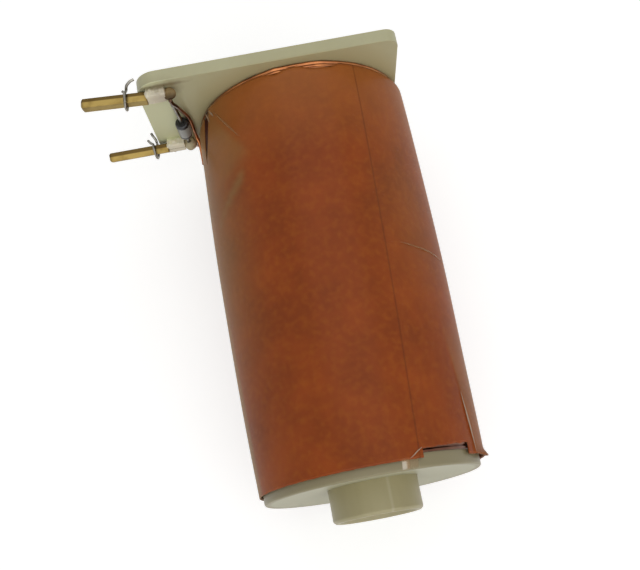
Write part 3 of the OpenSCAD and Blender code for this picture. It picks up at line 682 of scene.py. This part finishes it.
# Leads: the winding's own ends. The start comes out of the plate's groove to the lower post, and
# the finish comes out of the slot in the wrapping, passes the diode and hooks over the upper post.
START_ROUTE = [
    (-8.6, -1.95, -6), (-14, -1.95, -6), (-19.6, -1.95, -6), (-20.7, -2.15, -5.75), (-21.8, -2.5, -4.8),
    (-22.7, -3.1, -2.9), (-22.95, -3.75, -0.9),
]
FINISH_ROUTE = [
    (-21.79, -8.85, -1.14), (-21.76, -6.64, -0.38), (-21.86, -4.57, 0.57), (-22.2, -3.46, 1.85),
    (-22.25, -3.4, 4.9), (-22.4, -3.2, 9.2), (-23.1, -3.9, 13.6), (-23.6, -5.06, 17.8), (-24, -5.5, 19.6),
    (-24.2, -5.5, 21),
]


def smooth(stops, count):
    """A smooth curve through points by the Catmull-Rom rule, at count equal steps from first to last."""
    stops = np.asarray(stops, float)
    t = np.linspace(0, len(stops) - 1, count)
    i = np.minimum(t.astype(int), len(stops) - 2)
    f = (t - i)[:, None]
    a, b, c, d = (stops[np.clip(i + k, 0, len(stops) - 1)] for k in (-1, 0, 1, 2))
    return (2 * b + (c - a) * f + (2 * a - 5 * b + 4 * c - d) * f ** 2 + (3 * b - a - 3 * c + d) * f ** 3) / 2


def wire(name, path, radius, finish_made, side=(1, 0, 0)):
    """A round wire: a circle of a radius in mm carried along a path, square to it, with its ends drawn
    in and capped. side is a direction that the path never follows."""
    ahead = np.gradient(path, axis=0)
    ahead /= np.linalg.norm(ahead, axis=1, keepdims=True)
    out = np.asarray(side, float) - (ahead @ np.asarray(side, float))[:, None] * ahead
    out /= np.linalg.norm(out, axis=1, keepdims=True)
    over = np.cross(ahead, out)
    turn = np.linspace(0, 2 * np.pi, 14, endpoint=False)
    thick = np.full(len(path), radius)
    thick[[0, -1]] *= 0.8
    ring = np.cos(turn)[None, :, None] * out[:, None] + np.sin(turn)[None, :, None] * over[:, None]
    points = (path[:, None] + thick[:, None, None] * ring) * MM
    return surface(name, points, finish_made, columns_join=True, capped=True)


for name, route, count, side in (("start_lead", START_ROUTE, 70, (0, 1, 0)),
                                 ("finish_lead", FINISH_ROUTE, 120, (1, 0, 0))):
    lead = wire(name + "_wire", smooth(route, count), WIRE / 2, copper, side)
    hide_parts(name)
    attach(lead, "coil")

# Diode: an axial diode across the posts that swallows the coil's kick. Its body is black epoxy
# moulded over the junction, with a grey band printed at one end and a tinned lead at each.
DIODE_X = -24.0
DIODE_Y = -3.9
DIODE_LOW = 4.05
DIODE_HIGH = 9.25
DIODE_RADIUS = 1.35
DIODE_ROUND = 0.45
BAND_MIDDLE = 6.7
BAND_HALF = 1.7
EPOXY_PIT = 0.3
DIODE_WIRE = 0.4
DIODE_LEADS = {
    "diode_lead_upper": [(-24.0, -3.9, 9.1), (-24.05, -3.9, 11.5), (-24.3, -3.9, 15.5), (-24.5, -4.0, 19.8)],
    "diode_lead_lower": [(-24.0, -3.9, 1.05), (-24.0, -3.9, 2.6), (-24.0, -3.9, 4.2)],
}
TIN_CLOUD = 1.2
EPOXY = "#17171a"
BAND = "#94958f"
TIN = "#98958c"
TIN_DULL = "#5a564e"
# Epoxy: black and half matt, with pits from its mould, drawn coarse enough to show
epoxy, tree, shader = finish("Moulded epoxy", {"Roughness": 0.38, "IOR": 1.55})
place = add(tree, "ShaderNodeTexCoord", {}).outputs["Object"]
parts = add(tree, "ShaderNodeSeparateXYZ", {0: place})
band = add(tree, "ShaderNodeMath", {0: parts.outputs["Z"], 1: BAND_MIDDLE * MM, 2: BAND_HALF * MM},
           operation="COMPARE")
shade = add(tree, "ShaderNodeMix", {0: band.outputs[0], 6: linear(EPOXY), 7: linear(BAND)}, data_type="RGBA")
tree.links.new(shade.outputs[2], shader.inputs["Base Color"])
pits = add(tree, "ShaderNodeTexNoise", {"Vector": place, "Scale": 1 / (EPOXY_PIT * MM), "Detail": 2})
dents = add(tree, "ShaderNodeBump", {"Height": pits.outputs["Fac"], "Strength": 0.1, "Distance": 0.05 * MM})
tree.links.new(dents.outputs[0], shader.inputs["Normal"])
# The body's section runs from its lower end to its upper end, with a quarter circle at each
quarter = np.linspace(0, np.pi / 2, 8)
end_radius = DIODE_RADIUS - DIODE_ROUND + DIODE_ROUND * np.sin(quarter)
rise = DIODE_ROUND - DIODE_ROUND * np.cos(quarter)
radius = np.concatenate([[DIODE_ROUND], end_radius, end_radius[::-1], [DIODE_ROUND]])[:, None]
z = np.concatenate([[DIODE_LOW], DIODE_LOW + rise, DIODE_HIGH - rise[::-1], [DIODE_HIGH]])[:, None]
turn = np.linspace(0, 2 * np.pi, 48, endpoint=False)[None, :]
points = placed(DIODE_X + radius * np.cos(turn), DIODE_Y + radius * np.sin(turn), z)
body = surface("diode_epoxy", points, epoxy, columns_join=True, capped=True)
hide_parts("diode_body")
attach(body, "coil")

# Tin plate over copper: a soft white metal that dulls to grey in patches
tinned, tree, shader = finish("Tinned copper wire", {"Metallic": 1.0, "Roughness": 0.3})
place = add(tree, "ShaderNodeTexCoord", {}).outputs["Object"]
cloud = add(tree, "ShaderNodeTexNoise", {"Vector": place, "Scale": 1 / (TIN_CLOUD * MM), "Detail": 3})
grey = add(tree, "ShaderNodeMapRange", {"Value": cloud.outputs["Fac"], "From Min": 0.4, "From Max": 0.68})
shade = add(tree, "ShaderNodeMix", {0: grey.outputs[0], 6: linear(TIN), 7: linear(TIN_DULL)},
            data_type="RGBA")
tree.links.new(shade.outputs[2], shader.inputs["Base Color"])
for name, stops in DIODE_LEADS.items():
    lead = wire(name + "_wire", smooth(stops, 40), DIODE_WIRE, tinned)
    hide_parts(name)
    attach(lead, "coil")

# Solder: a bead melted round each post's inner end that closes over the diode's lead and the
# winding's end. It is dull grey tin, with brown flux left on the upper one.
BEAD_LENGTH = 1.2
# Middle of each bead, and its half widths off the plate's face and along it
BEADS = {
    "solder_joint_upper": (-24.2, -3.8, 20.4, 1.25, 0.8),
    "solder_joint_lower": (-23.78, -3.9, -0.2, 1.36, 1.36),
}
FLUX_CLOUD = 0.9
SOLDER = "#c6ba98"
FLUX = "#957b50"
FLUX_BURNT = "#3b2b13"
# Tin solder: dull, and under a skin of flux that takes its shine
solder, tree, shader = finish("Tin solder", {"Roughness": 0.65, "Specular IOR Level": 0.3})
place = add(tree, "ShaderNodeTexCoord", {}).outputs["Object"]
parts = add(tree, "ShaderNodeSeparateXYZ", {0: place})
upper = add(tree, "ShaderNodeMath", {0: parts.outputs["Z"], 1: 10 * MM}, operation="GREATER_THAN")
cloud = add(tree, "ShaderNodeTexNoise", {"Vector": place, "Scale": 1 / (FLUX_CLOUD * MM), "Detail": 3})
flux = add(tree, "ShaderNodeMapRange", {"Value": cloud.outputs["Fac"], "From Min": 0.3, "From Max": 0.6,
                                        "To Min": 0.85})
# The flux is burnt dark in front, where the winding's end was soldered
front = add(tree, "ShaderNodeMapRange", {"Value": parts.outputs["Y"], "From Min": -4.7 * MM,
                                         "From Max": -3.7 * MM, "To Min": 0.85, "To Max": 0.0})
shade = linear(SOLDER)
for cover, tone in ((flux, FLUX), (front, FLUX_BURNT)):
    cover = add(tree, "ShaderNodeMath", {0: upper.outputs[0], 1: cover.outputs[0]}, operation="MULTIPLY")
    shade = add(tree, "ShaderNodeMix", {0: cover.outputs[0], 6: shade, 7: linear(tone)},
                data_type="RGBA").outputs[2]
tree.links.new(shade, shader.inputs["Base Color"])
# A ball with two waves of lumps on it, a little blunt at both ends
pole = np.linspace(-np.pi / 2 + 0.08, np.pi / 2 - 0.08, 28)[:, None]
turn = np.linspace(0, 2 * np.pi, 40, endpoint=False)[None, :]
lump = 1 + 0.05 * np.sin(3 * turn + 1) * np.cos(pole) + 0.05 * np.cos(2 * turn + 3 * pole)
swell = np.cos(pole) ** 0.8 * lump
for name, (x, y, z, half_y, half_z) in BEADS.items():
    points = placed(x + BEAD_LENGTH * np.sin(pole), y + half_y * swell * np.cos(turn),
                    z + half_z * swell * np.sin(turn))
    bead = surface(name + "_bead", points, solder, columns_join=True, capped=True)
    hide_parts(name)
    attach(bead, "coil")

# Wire wraps: cut ends of the machine's tinned wire, still wound round both posts beside the ear,
# with their tails standing off. Places along them are written from the posts' own lines.
POST_WRAP = 1.73
WRAP_WIRE = 0.275
WRAP_STEP = 24
UPPER_LEAN = np.radians(4)
UPPER_PIVOT = 27.05
UPPER_TAIL = [(-32.2, 1.8, 1.0), (-31.95, 2.15, 1.7), (-31.25, 2.7, 2.1), (-30.45, 3.1, 2.1)]
LOWER_TAIL_IN = [(-32.5, 2.14, 0.6), (-32.0, 1.24, 1.1)]
LOWER_TAIL_OUT = [(-30.95, 2.14, 0.8), (-31.3, 2.7, 1.2), (-31.55, 3.26, 1.6)]


def turns(x_from, x_to, angle_from, angle_to):
    """Points of a helix round a post's own line, from one place along X and angle to another."""
    t = np.linspace(0, 1, int(abs(angle_to - angle_from) / WRAP_STEP) + 1)
    a = np.radians(angle_from + (angle_to - angle_from) * t)
    return np.stack([x_from + (x_to - x_from) * t, POST_WRAP * np.cos(a), POST_WRAP * np.sin(a)], 1)


# The upper wrap leans with its post, turned about the place where the post leaves its boss
x, y, z = smooth(np.concatenate([turns(-32.9, -32.3, 390, 30), UPPER_TAIL]), 260).T
x = x + UPPER_PIVOT
leaning = np.stack([-UPPER_PIVOT + x * np.cos(UPPER_LEAN) + y * np.sin(UPPER_LEAN),
                    -POST_DEPTH - x * np.sin(UPPER_LEAN) + y * np.cos(UPPER_LEAN),
                    POST_HEIGHTS["upper"] + z], 1)
stops = np.concatenate([LOWER_TAIL_IN, turns(-31.4, -30.8, 75, 380), LOWER_TAIL_OUT])
level = smooth(stops, 320) + [0, -POST_DEPTH, POST_HEIGHTS["lower"]]
for name, path in (("wire_wrap_upper", leaning), ("wire_wrap_lower", level)):
    wound = wire(name + "_turns", path, WRAP_WIRE, tinned)
    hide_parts(name)
    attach(wound, "coil")

# Sleeve: a thin tube of nylon that lines the bore, with a collar seated in the plate and its
# nose standing out of the foot. It pulls out for replacement; wear has made it darker.
SLEEVE_EDGE = 0.15
SLEEVE_CLOUD = 4.0
SLEEVE_GRAIN = 0.4
PARTING = 73.0
# The wall's section as radius and depth: bore, collar, outside, the nose's rounded end and the bore's mouth
SLEEVE_SECTION = np.array([
    (6.5, 0.0), (10.5, 0.0), (10.5, 1.2), (8.4, 1.2), (8.4, 40.0), (8.4, 80.0), (8.4, 85.42), (7.92, 85.9),
    (7.35, 85.9), (6.5, 84.9), (6.5, 80.0), (6.5, 40.0),
])
SLEEVE_TONE = "#b2a980"
SLEEVE_WORN = "#a0956e"
SLEEVE_LINE = "#c6c1a6"
# Nylon darkened by wear, in streaks along the tube, with the mould's parting line pale on it and its
# grain drawn coarse enough to show
sleeve_nylon, tree, shader = finish("Worn nylon", {"Roughness": 0.4, **NYLON})
place = add(tree, "ShaderNodeTexCoord", {}).outputs["Object"]
drag = add(tree, "ShaderNodeMapping", {"Vector": place, "Scale": (1.0, 0.25, 1.0)})
cloud = add(tree, "ShaderNodeTexNoise", {"Vector": drag.outputs[0], "Scale": 1 / (SLEEVE_CLOUD * MM),
                                         "Detail": 3})
shade = add(tree, "ShaderNodeMix", {0: cloud.outputs["Fac"], 6: linear(SLEEVE_TONE), 7: linear(SLEEVE_WORN)},
            data_type="RGBA")
parts = add(tree, "ShaderNodeSeparateXYZ", {0: place})
round_at = add(tree, "ShaderNodeMath", {0: parts.outputs["Z"], 1: parts.outputs["X"]}, operation="ARCTAN2")
off_line = add(tree, "ShaderNodeMath", {0: round_at.outputs[0], 1: np.radians(PARTING)}, operation="SUBTRACT")
off_line = add(tree, "ShaderNodeMath", {0: off_line.outputs[0]}, operation="ABSOLUTE")
line = add(tree, "ShaderNodeMapRange", {"Value": off_line.outputs[0], "From Min": 0.012, "From Max": 0.05,
                                        "To Min": 0.28, "To Max": 0.0})
shade = add(tree, "ShaderNodeMix", {0: line.outputs[0], 6: shade.outputs[2], 7: linear(SLEEVE_LINE)},
            data_type="RGBA")
tree.links.new(shade.outputs[2], shader.inputs["Base Color"])
grain = add(tree, "ShaderNodeTexNoise", {"Vector": place, "Scale": 1 / (SLEEVE_GRAIN * MM), "Detail": 2})
dents = add(tree, "ShaderNodeBump", {"Height": grain.outputs["Fac"], "Strength": 0.08, "Distance": 0.1 * MM})
tree.links.new(dents.outputs[0], shader.inputs["Normal"])
angle = np.linspace(0, 360, 144, endpoint=False)[None, :]
points = round_coil(SLEEVE_SECTION[:, :1], angle, SLEEVE_SECTION[:, 1:])
sleeve = surface("coil_sleeve_tube", points, sleeve_nylon, rows_join=True, columns_join=True)
soft_edges(sleeve, SLEEVE_EDGE)
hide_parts("coil_sleeve")
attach(sleeve, "sleeve")

# Stage: a white table that the coil lies on, touching the plate's lower edge and the wrapping
# beside the foot, under a broad soft lamp from the foot's side, with the photograph's camera.
# Its places are in metres, apart from the table's levels under the plate and the foot.
TABLE = 1.5
LEVEL_AT_PLATE = -23.3
LEVEL_AT_FOOT = -21.25
TABLE_WHITE = "#d6d6d4"
GLOW_NEAR = 0.62
GLOW_FAR = 0.82
ROOM_LOW = 0.35
ROOM_HIGH = 0.26
AIM = np.array([0, -0.04, 0])
# Place, power and size of each lamp
LAMPS = {"key": ((0.18, -0.9, 0.78), 9.5, 1.8), "fill": ((0.05, 0.4, 0.98), 2.0, 1.0)}
CAMERA_AT = (-0.006039, -0.095012, 0.170125)
CAMERA_TURN = (17.8387, 2.1827, -10.2995)
SENSOR = 36
FOCAL_LENGTH = 50.625


def looked_at(tree):
    """1 on rays from the camera, off a gloss or through film, and 0 on the rays that light the coil."""
    rays = add(tree, "ShaderNodeLightPath", {}).outputs
    seen = add(tree, "ShaderNodeMath", {0: rays["Is Camera Ray"], 1: rays["Is Glossy Ray"]}, operation="ADD")
    seen = add(tree, "ShaderNodeMath", {0: seen.outputs[0], 1: rays["Is Transmission Ray"]}, operation="ADD",
               use_clamp=True)
    return seen.outputs[0]


# Matt white board that keeps the shadow. It glows to the camera, and more so away from the lamps, so
# that its end doesn't show against the white room
white, tree, shader = finish("White table", {"Base Color": linear(TABLE_WHITE), "Roughness": 0.9,
                                             "Specular IOR Level": 0.1})
place = add(tree, "ShaderNodeTexCoord", {}).outputs["Object"]
away = add(tree, "ShaderNodeVectorMath", {0: place}, operation="LENGTH").outputs["Value"]
glow = add(tree, "ShaderNodeMapRange", {"Value": away, "From Min": 0.25, "From Max": 1.0,
                                        "To Min": GLOW_NEAR, "To Max": GLOW_FAR})
glow = add(tree, "ShaderNodeMath", {0: looked_at(tree), 1: glow.outputs[0]}, operation="MULTIPLY")
lit = add(tree, "ShaderNodeEmission", {"Color": (1, 1, 1, 1), "Strength": glow.outputs[0]})
both = add(tree, "ShaderNodeAddShader", {0: shader.outputs[0], 1: lit.outputs[0]})
tree.links.new(both.outputs[0], tree.nodes["Material Output"].inputs["Surface"])
x, y = np.meshgrid([-TABLE, TABLE], [-TABLE, TABLE])
slope = (LEVEL_AT_FOOT - LEVEL_AT_PLATE) / WRAP_TO
table = surface("table", np.stack([x, y, LEVEL_AT_PLATE * MM - slope * y], -1), white)
table.data.flip_normals()

# The room lights the coil dimly, and the camera and reflections see it white
world = bpy.data.worlds.new("Soft room")
bpy.context.scene.world = world
world.use_nodes = True
tree = world.node_tree
sky = tree.nodes["Background"]
sky.inputs["Color"].default_value = (1, 1, 1, 1)
up = add(tree, "ShaderNodeSeparateXYZ", {0: add(tree, "ShaderNodeTexCoord", {}).outputs["Generated"]})
dim = add(tree, "ShaderNodeMapRange", {"Value": up.outputs["Z"], "From Min": 0.15, "From Max": 0.9,
                                       "To Min": ROOM_LOW, "To Max": ROOM_HIGH})
bright = add(tree, "ShaderNodeMix", {0: looked_at(tree), 2: dim.outputs[0], 3: 1.0})
tree.links.new(bright.outputs[0], sky.inputs["Strength"])

for name, (at, power, size) in LAMPS.items():
    lamp = bpy.data.lights.new(name, "AREA")
    lamp.energy = power
    lamp.size = size
    holder = bpy.data.objects.new(name, lamp)
    holder.location = at
    x, y, z = AIM - np.array(at)
    holder.rotation_euler = (np.arctan2(np.hypot(x, y), -z), 0, np.arctan2(y, x) - np.pi / 2)
    bpy.context.scene.collection.objects.link(holder)

# The photograph's own viewpoint and lens
lens = bpy.data.cameras.new("photograph")
lens.sensor_width = SENSOR
lens.lens = FOCAL_LENGTH
lens.clip_start = 0.01
camera = bpy.data.objects.new("photograph", lens)
camera.location = CAMERA_AT
camera.rotation_euler = np.radians(CAMERA_TURN)
bpy.context.scene.collection.objects.link(camera)
bpy.context.scene.camera = camera
bpy.context.scene.view_settings.view_transform = "Standard"
